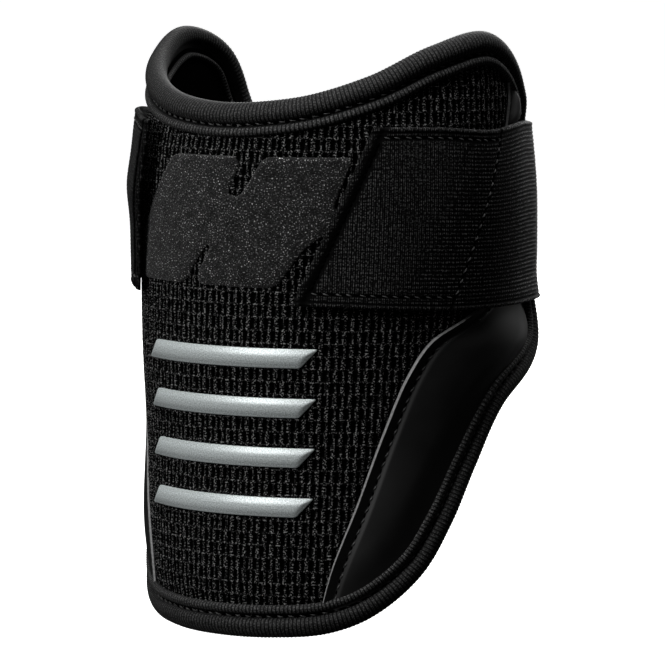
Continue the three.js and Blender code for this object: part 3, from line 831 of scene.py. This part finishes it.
# Depth of the ribs, the share of it on a sewn end, degrees from an end between which they come up
RIB_DEPTH, SEWN_RIB, RIB_RISE = 0.2, 0.25, (22.0, 44.0)
# The rolled long edges, with a groove beside them
BEAD_WIDTH, BEAD_HEIGHT, BEAD_ROWS = 1.4, 0.12, 7
BEAD_GROOVE, BEAD_GROOVE_REACH = 0.14, 0.25
EDGE_ROUND = 0.6
# Stitched field of an end: degrees to its near line, to its far one at the bottom and top; its sides
TAB_STITCH, TAB_FAR = 3.2, (43.4, 42.6)
TAB_STITCH_LOW, TAB_STITCH_HIGH = 0.072, 0.942
# Dents along those lines: depth, reach of each, degrees in which the sides' start and stop
DENT_DEPTH, DENT_NEAR, DENT_FAR, DENT_SIDE = 0.35, 0.8, 0.35, 0.008
DENT_START, DENT_STOP = 1.5, 0.5
# Painted shade in the stitched valley beside a cut end: degrees from it, reach, how ragged by row and by
# point
VALLEY_SHADE, VALLEY_SHADE_REACH, VALLEY_SHADE_ROWS, VALLEY_SHADE_POINTS = 2.9, 0.75, 0.55, 0.3
# Painted shade on the left end: amount, angles
LEFT_SHADE, LEFT_SHADE_REACH = 0.06, (308.0, 314.0)
# Shade of plain cloth, and of specks on a cut end
EVEN_SHADE, CUT_SHADE = 0.12, 0.2
# Painted light on the right side past the end: how much less shade, angles
PAINTED_RIM_LIGHT, PAINTED_RIM_LIGHT_FROM = 0.055, (84.0, 104.0)
# The cut end is pressed thinner: drop, degrees
HEM_DROP, HEM_REACH = 0.35, 0.8
# Columns of the grid, from an end to the middle: fraction along, columns up to there
STRAP_COLUMNS = [(0.0, 0), (0.02, 22), (0.136, 26), (0.152, 22), (0.5, 60)]
# Hook tapes: degrees from the end, degrees long, margin from the long edges; gap under the strap,
# thickness, rise of the hooks, points of the grid each way
HOOK_INSET, HOOK_LENGTH, HOOK_MARGIN = 2.5, 37.0, 3.5
HOOK_GAP, HOOK_BASE, HOOK_RISE, HOOK_GRID = 0.1, 0.6, 0.35, 90


def strap_end(hand, v):
    """Angle of the right end (hand 1) or the left one (-1) at a fraction v up."""
    top, bottom = STRAP_END_RIGHT if hand > 0 else STRAP_END_LEFT
    return lerp(bottom, top, v)


def strap_height(angle, v):
    """Height at an angle and a fraction v up the strap."""
    on_right = 1 - smoothstep(angle, *SAG_END)
    low = STRAP_BOTTOM + TIP_RISE * (1 - smoothstep(angle, *TIP_REACH)) - SAG * on_right
    high = STRAP_TOP - DIP * bell(angle, DIP_ANGLE, DIP_REACH)
    high = high - CORNER_FALL * smoothstep(angle, *CORNER_REACH) * on_right
    turned = LEFT_RISE * smoothstep(angle, *LEFT_REACH) - LEFT_FALL * smoothstep(angle, *LEFT_FALL_REACH)
    return lerp(low, high, v) + turned


def strap_under(angle, v):
    """Radius of the strap's inner face, with the slack and the lifted end on the left."""
    belly = 1 - (2 * v - 1) ** 2
    bulge = bell(v, SLACK_LEVEL, SLACK_SPREAD) - SLACK_TUCK * (1 - smoothstep(v, *SLACK_TUCK_END))
    slack = SLACK_RISE * bulge * bell(angle, SLACK_ANGLE, SLACK_REACH)
    lift = LIFT_RISE * (1 - smoothstep(strap_end(-1, v) - angle, 0, LIFT_REACH)) * smoothstep(v, 0, 1)
    taut = PINCH * smoothstep(strap_height(angle, v), *PINCH_TO) * smoothstep(folded(angle), *LEAN_ANGLE)
    return strap_inner(angle) + STRAP_CROWN * belly + slack + lift - taut


def strap_columns():
    """Fractions along of the grid's columns, close together where the strap is sewn."""
    half = np.concatenate([[0.0]] + [np.linspace(before, after, count + 1)[1:] for (before, _), (after, count)
                                     in zip(STRAP_COLUMNS, STRAP_COLUMNS[1:])])
    return np.concatenate([half, 1 - half[-2::-1]])


def strap_rows():
    """Distances up of the grid's rows: close together on the rolled edges, then by the ribs."""
    tall = STRAP_TOP - STRAP_BOTTOM
    between_beads = tall - 2 * BEAD_WIDTH
    steps = RIB_STEPS * round(between_beads / STRAP_RIB)
    body = BEAD_WIDTH + np.arange(steps + 1) * between_beads / steps
    bead = np.linspace(0, BEAD_WIDTH, BEAD_ROWS, endpoint=False)
    return np.concatenate([bead, body, tall - bead[::-1]])


def strap_cover(material):
    """Elastic strap: lengthwise ribs between two rolled edges, with slanted ends."""
    across = strap_rows()
    tall = across[-1]
    v = (across / tall)[:, None]
    angle = lerp(strap_end(1, v), strap_end(-1, v), strap_columns()[None, :])
    height = strap_height(angle, v)
    from_end = np.minimum(angle - strap_end(1, v), strap_end(-1, v) - angle)
    from_rim = np.minimum(across, tall - across)[:, None]
    sewn = 1 - smoothstep(from_end, *RIB_RISE)
    in_groove = (np.arange(len(across)) - BEAD_ROWS)[:, None] % RIB_STEPS == 0
    rib = (from_rim >= BEAD_WIDTH) * in_groove * lerp(1.0, SEWN_RIB, sewn)
    dents = stitch_dents(from_end, v)
    hem = HEM_DROP * (1 - smoothstep(from_end, 0, HEM_REACH))
    relief = bead_profile(from_rim) - RIB_DEPTH * rib - DENT_DEPTH * dents - hem
    under = strap_under(angle, v)
    outer = place(angle, height, under + STRAP_THICKNESS + relief)
    inner = place(angle, height, under)
    # Painted shade in the rib grooves, the stitch dents and beside the beads
    marks = rib + dents + strap_painted_light_and_specks(angle, from_end) + bead_groove(from_rim)
    flat = np.concatenate([unrolled(angle, height), sewn[..., None]], -1)
    piece = make_slab("strap_cover", outer, inner, material, flat, np.clip(EVEN_SHADE + marks, 0, 1))
    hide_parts("strap")


def strap_painted_light_and_specks(angle, from_end):
    """Painted shade in the stitched valleys of the ends, with random specks on the cut ends, painted shade on
    the left end and painted light on the right side.
    """
    ragged = rng.normal(0, VALLEY_SHADE_ROWS, (len(angle), 1)) + rng.normal(0, VALLEY_SHADE_POINTS, angle.shape)
    valley_shade_and_specks = bell(from_end - ragged, VALLEY_SHADE, VALLEY_SHADE_REACH)
    valley_shade_and_specks = valley_shade_and_specks + CUT_SHADE * rng.random(angle.shape) * (from_end < VALLEY_SHADE)
    taut = smoothstep(angle, *PAINTED_RIM_LIGHT_FROM) * (1 - smoothstep(angle, *SAG_END))
    return valley_shade_and_specks + LEFT_SHADE * smoothstep(angle, *LEFT_SHADE_REACH) - PAINTED_RIM_LIGHT * taut


def stitch_dents(from_end, v):
    """Where the stitch lines of an end pull the cloth down, 0 to 1."""
    far = lerp(*TAB_FAR, v)
    ends = bell(from_end, TAB_STITCH, DENT_NEAR) + bell(from_end, far, DENT_FAR)
    sides = bell(v, TAB_STITCH_LOW, DENT_SIDE) + bell(v, TAB_STITCH_HIGH, DENT_SIDE)
    past_near = smoothstep(from_end, TAB_STITCH - DENT_START, TAB_STITCH)
    past_far = smoothstep(from_end, far, far + DENT_STOP)
    return np.clip(ends + sides * past_near * (1 - past_far), 0, 1)


def bead_groove(from_rim):
    return bell(from_rim, BEAD_WIDTH, BEAD_GROOVE_REACH)


def bead_profile(from_rim):
    """Rise of a rolled edge over its width: a round bead, then a groove."""
    t = np.clip(from_rim / BEAD_WIDTH, 0, 1)
    outside = 1 - np.clip(from_rim / EDGE_ROUND, 0, 1)
    rounding = EDGE_ROUND * (1 - np.sqrt(1 - outside ** 2))
    return BEAD_HEIGHT * np.sin(np.pi * t) - rounding - BEAD_GROOVE * bead_groove(from_rim)


def hook_cover(hand, material):
    """Hook tape under a strap end, with rows of hooks on its inner face."""
    name = "right" if hand > 0 else "left"
    tall = STRAP_TOP - STRAP_BOTTOM
    v = np.linspace(HOOK_MARGIN, tall - HOOK_MARGIN, HOOK_GRID)[:, None] / tall
    along = np.linspace(0, 1, HOOK_GRID)[None, :]
    angle = strap_end(hand, v) + hand * (HOOK_INSET + HOOK_LENGTH * along)
    height = strap_height(angle, v)
    top = strap_under(angle, v) - HOOK_GAP
    odd = np.arange(HOOK_GRID) % 2
    hooks = HOOK_RISE * np.outer(odd, odd)
    outer = place(angle, height, top)
    inner = place(angle, height, top - HOOK_BASE - hooks)
    flat = unrolled(angle, height)
    piece = make_slab("hook_cover_" + name, outer, inner, material, flat, mirrored=hand < 0)
    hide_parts("hook_patch_" + name)


# Stitches

STITCH_PITCH, STITCH_LENGTH, STITCH_SLANT, STITCH_STRAY = 3.3, 1.8, 0.5, 0.22
THREAD_RADIUS, STITCH_ARCH, STITCH_SINK = 0.21, 0.3, 0.15
# A near-black tube between two stitches, as painted shade in the needle hole
HOLE_LENGTH, HOLE_RADIUS, HOLE_SINK = 1.5, 0.44, 0.3
# Tubes for both: rings, sides, fraction at which an end is cut, step for the direction, faces of an end
TUBE_RINGS, TUBE_SIDES, TUBE_END, TUBE_STEP = 7, 6, 0.04, 0.1
TUBE_CAP = np.array([(0, 1, 2, 3), (0, 3, 4, 5)])
# Lines of stitches on the binding, the panels and the strap: points, then their place
BINDING_LINE, BINDING_LINE_OUT, BINDING_LINE_RISE = 2600, -2.4, 2.65
PANEL_LINE, PANEL_LINE_SPAN, PANEL_LINE_RISE = 500, (0.02, 0.97), 0.15
TAB_LINE, TAB_LINE_SINK = 60, 0.2


def tube_row(line, centres, length, thickness, rise, slant):
    """Points and faces of a row of small tubes along a line of close points."""
    s = distances(line)
    t = np.linspace(0, 1, TUBE_RINGS)
    at = centres[:, None] + (t - 0.5) * length
    centre, ahead, behind = (np.stack([np.interp(at + step, s, column) for column in line.T], -1)
                             for step in (0, TUBE_STEP, -TUBE_STEP))
    out = unit(centre * (1, 1, 0))
    side = np.cross(unit(ahead - behind), out)
    centre = centre + out * rise(t)[None, :, None] + side * (slant * (t - 0.5))[None, :, None]
    thick = thickness * np.sqrt(np.sin(np.pi * np.clip(t, TUBE_END, 1 - TUBE_END)))
    turn = np.arange(TUBE_SIDES) * 2 * np.pi / TUBE_SIDES
    ring = np.cos(turn)[:, None] * out[:, :, None, :] + np.sin(turn)[:, None] * side[:, :, None, :]
    points = centre[:, :, None, :] + thick[None, :, None, None] * ring
    wall = grid_quads(TUBE_RINGS, TUBE_SIDES, wrap_columns=True)[:, ::-1]
    quads = np.concatenate([wall, TUBE_CAP, TUBE_CAP[:, ::-1] + (TUBE_RINGS - 1) * TUBE_SIDES])
    quads = quads[None] + np.arange(len(centres))[:, None, None] * TUBE_RINGS * TUBE_SIDES
    return points.reshape(-1, 3), quads.reshape(-1, 4)


def stitch_rise(t):
    return STITCH_ARCH * np.sin(np.pi * t) - STITCH_SINK


def hole_rise(t):
    return np.full_like(t, -HOLE_SINK)


def stitches(name, angle, height, radius, slot, sewing):
    """Slanted stitches along a line, with a near-black tube as painted shade between each two. sewing:
    materials of both.
    """
    line = place(angle, height, radius)
    length = distances(line)[-1]
    count = max(1, round(length / STITCH_PITCH))
    pitch = length / count
    centres = (np.arange(count) + 0.5) * pitch + rng.normal(0, STITCH_STRAY, count)
    thread_points, thread_quads = tube_row(
        line, centres, STITCH_LENGTH, THREAD_RADIUS, stitch_rise, STITCH_SLANT)
    hole_points, hole_quads = tube_row(
        line, np.arange(1, count) * pitch, HOLE_LENGTH, HOLE_RADIUS, hole_rise, 0.0)
    piece = make_piece(name, np.concatenate([thread_points, hole_points]),
                       np.concatenate([thread_quads, hole_quads + len(thread_points)]), sewing[0])
    piece.data.materials.append(sewing[1])
    kinds = np.repeat([0, 1], [len(thread_quads), len(hole_quads)])
    piece.data.polygons.foreach_set("material_index", kinds.astype(np.int32))


def strap_stitch_line(hand, corners):
    """Line of stitches through corners given as (degrees from the strap's end, fraction up)."""
    t = np.linspace(0, 1, TAB_LINE, endpoint=False)[:, None]
    corners = np.array(corners, float)
    rows = [lerp(before, after, t) for before, after in zip(corners, corners[1:])]
    turn, v = np.concatenate(rows + [corners[-1:]]).T
    angle = strap_end(hand, v) + hand * turn
    return angle, strap_height(angle, v), strap_under(angle, v) + STRAP_THICKNESS - TAB_LINE_SINK


def all_stitches(sewing):
    angle, height = edge.at(np.linspace(0, edge.length, BINDING_LINE), BINDING_LINE_OUT)
    stitches("binding_stitches", angle, height, EDGE_RADIUS + BINDING_LINE_RISE, "binding", sewing)
    low, high = TAB_STITCH_LOW, TAB_STITCH_HIGH
    field = [(TAB_STITCH, high), (TAB_FAR[1], high), (TAB_FAR[0], low), (TAB_STITCH, low)]
    end = [(TAB_STITCH, low), (TAB_STITCH, high)]
    s = np.linspace(*PANEL_LINE_SPAN, PANEL_LINE) * seam.length
    angle, height = seam.at(s, topstitch(seam.at(s)[1]))
    radius = SIDE_STITCH_RADIUS + PANEL_LINE_RISE
    for name, hand in (("right", 1), ("left", -1)):
        stitches("panel_stitches_" + name, hand * angle, height, radius, "coated_panel", sewing)
        stitches("strap_stitches_" + name, *strap_stitch_line(hand, field), "elastic", sewing)
        # Beside the cut end the thread, too, takes the near-black painted shade of the holes
        stitches("strap_end_stitches_" + name, *strap_stitch_line(hand, end), "elastic", sewing[1:] * 2)


# Trim bars

BAR_COUNT, BAR_TOP, BAR_PITCH = 4, -10.0, 14.0
BAR_HALF_WIDTH, BAR_HALF_ANGLE, BAR_BASE_RADIUS = 2.7, 29.0, 56.2
# Lean of the ends, reach of the rounded corners, points along a side and an end
BAR_SLANT, BAR_CORNER = 0.9, 0.8
BAR_SIDE_POINTS, BAR_END_POINTS = 60, 4
# Rings of a bar from its foot to its middle: inset from the outline, rise
BAR_RINGS = [
    (0, -0.5), (0, 0.42), (0.12, 0.55), (0.5, 0.62), (0.8, 0.8), (1.3, 1.05), (1.9, 1.18), (2.4, 1.22),
    (2.62, 1.22),
]


def bar_ring(inset):
    """Outline of a bar about its middle, drawn in by an inset."""
    half_length = math.radians(BAR_BASE_RADIUS) * BAR_HALF_ANGLE - inset
    half_width = BAR_HALF_WIDTH - inset
    corners = SQUARE * (half_length, half_width)
    corners[:, 0] += BAR_SLANT * corners[:, 1]
    turns = round_corners(corners, BAR_CORNER).reshape(4, -1, 2)
    rows = []
    for count, turn, after in zip((BAR_SIDE_POINTS, BAR_END_POINTS) * 2, turns, np.roll(turns, -1, axis=0)):
        t = np.linspace(0, 1, count + 2)[1:-1, None]
        rows += [turn, lerp(turn[-1], after[0], t)]
    return np.concatenate(rows)


def trim_bar(index, material):
    """A raised bar with slanted ends: a thin lip and a crowned ridge, bent round the mesh."""
    scale = math.radians(BAR_BASE_RADIUS)
    inset, rise = np.array(BAR_RINGS).T
    x, y = np.moveaxis(np.stack([bar_ring(step) for step in inset]), -1, 0)
    height = BAR_TOP - index * BAR_PITCH + y
    angle = x / scale
    points = place(angle, height, BAR_BASE_RADIUS + rise[:, None])
    rings, around = x.shape
    quads = grid_quads(rings, around, wrap_columns=True)
    # The last ring is closed by a strip between its two long sides
    far_last = around - 1 - BAR_END_POINTS
    k = np.arange(-BAR_END_POINTS // 2, far_last // 2)
    cap = np.stack([k, k + 1, far_last - 1 - k, far_last - k], -1) % around
    cap = cap + (rings - 1) * around
    piece = make_piece(f"trim_bar_cover_{index + 1}", points, np.concatenate([quads, cap]), material,
                       unrolled(angle, height))
    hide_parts(f"trim_bar_{index + 1}")


# Stage

CAMERA_AZIMUTH, CAMERA_ELEVATION = 38.59, 5.20
CAMERA_DISTANCE = 1.452
CAMERA_LENS, CAMERA_SENSOR, CAMERA_CLIP = 271.5, 36.0, 20.0
CAMERA_TARGET = Vector((-0.00214, -0.00171, -0.00776))
WORLD_LIGHT = 0.02
# The floor's gap under the solids and half its width, in metres
FLOOR_GAP, FLOOR_HALF = 0.0006, 6.0


def toward(azimuth, elevation):
    """Unit vector to an azimuth (0 in front, along -Y) and an elevation."""
    a, e = math.radians(azimuth), math.radians(elevation)
    return Vector((math.sin(a) * math.cos(e), -math.cos(a) * math.cos(e), math.sin(e)))


def aim(obj, target):
    obj.rotation_euler = (target - obj.location).to_track_quat("-Z", "Y").to_euler()


def add_camera():
    data = bpy.data.cameras.new("camera")
    data.lens = CAMERA_LENS
    data.sensor_width = CAMERA_SENSOR
    data.clip_end = CAMERA_CLIP
    camera = add_object("camera", data)
    camera.location = CAMERA_TARGET + CAMERA_DISTANCE * toward(CAMERA_AZIMUTH, CAMERA_ELEVATION)
    aim(camera, CAMERA_TARGET)
    bpy.context.scene.camera = camera


# Softboxes: name, azimuth, elevation, distance, width, height, power
SOFTBOXES = [
    ("left", -155, 25, 1.2, 0.5, 1.2, 16.0),
    ("right", 172, 20, 1.2, 0.3, 1.2, 1.35),
    ("top", 0, 80, 1.3, 0.8, 0.8, 12.0),
    ("crest", 156, 60, 1.3, 0.6, 0.6, 4.2),
    ("front", -10, 30, 1.6, 0.8, 0.8, 17.0),
]


def add_lights():
    for name, azimuth, elevation, distance, width, height, power in SOFTBOXES:
        data = bpy.data.lights.new("softbox_" + name, "AREA")
        data.shape = "RECTANGLE"
        data.size, data.size_y = width, height
        data.energy = power
        light = add_object("softbox_" + name, data)
        light.location = distance * toward(azimuth, elevation)
        aim(light, Vector((0, 0, 0)))


def add_world():
    """White to the eye, dim to the object, as in a studio with a lit backdrop."""
    world = bpy.data.worlds.new("studio")
    world.use_nodes = True
    tree = world.node_tree
    tree.nodes.remove(tree.nodes["Background"])
    dim, bright = (add_node(tree, "Background", {"Color": grey(1.0), "Strength": strength}).outputs[0]
                   for strength in (WORLD_LIGHT, 1.0))
    seen = add_node(tree, "LightPath").outputs["Is Camera Ray"]
    mix = add_node(tree, "MixShader", {0: seen, 1: dim, 2: bright})
    tree.links.new(mix.outputs[0], tree.nodes["World Output"].inputs["Surface"])
    bpy.context.scene.world = world


def add_floor():
    low = cad_box[0][2] - FLOOR_GAP
    mesh = bpy.data.meshes.new("floor")
    mesh.from_pydata([(x, y, low) for x, y in SQUARE * FLOOR_HALF], [], [(0, 1, 2, 3)])
    look = Finish("pale_floor", Base_Color=grey(0.6), Roughness=0.9,
                  Emission_Color=grey(1.0), Emission_Strength=1.0)
    mesh.materials.append(look.material)
    floor = add_object("floor", mesh)
    floor.visible_diffuse = False
    floor.visible_glossy = False


def build():
    add_camera()
    add_lights()
    add_world()
    add_floor()
    bpy.context.scene.view_settings.view_transform = "Standard"
    skin, raw_edge, film, hooks = coated_skin(), cut_edge(), silver_film(), hook_plastic()
    mesh_cover(mesh_yarn())
    for hand in (1, -1):
        side_cover(hand, skin, raw_edge)
        hook_cover(hand, hooks)
    binding_cover(binding_rib())
    lining_cover(brushed_lining())
    loop_patch_cover(velour_pile())
    strap_cover(elastic_weave())
    all_stitches((thread(), painted_stitch_shade()))
    for index in range(BAR_COUNT):
        trim_bar(index, film)


build()
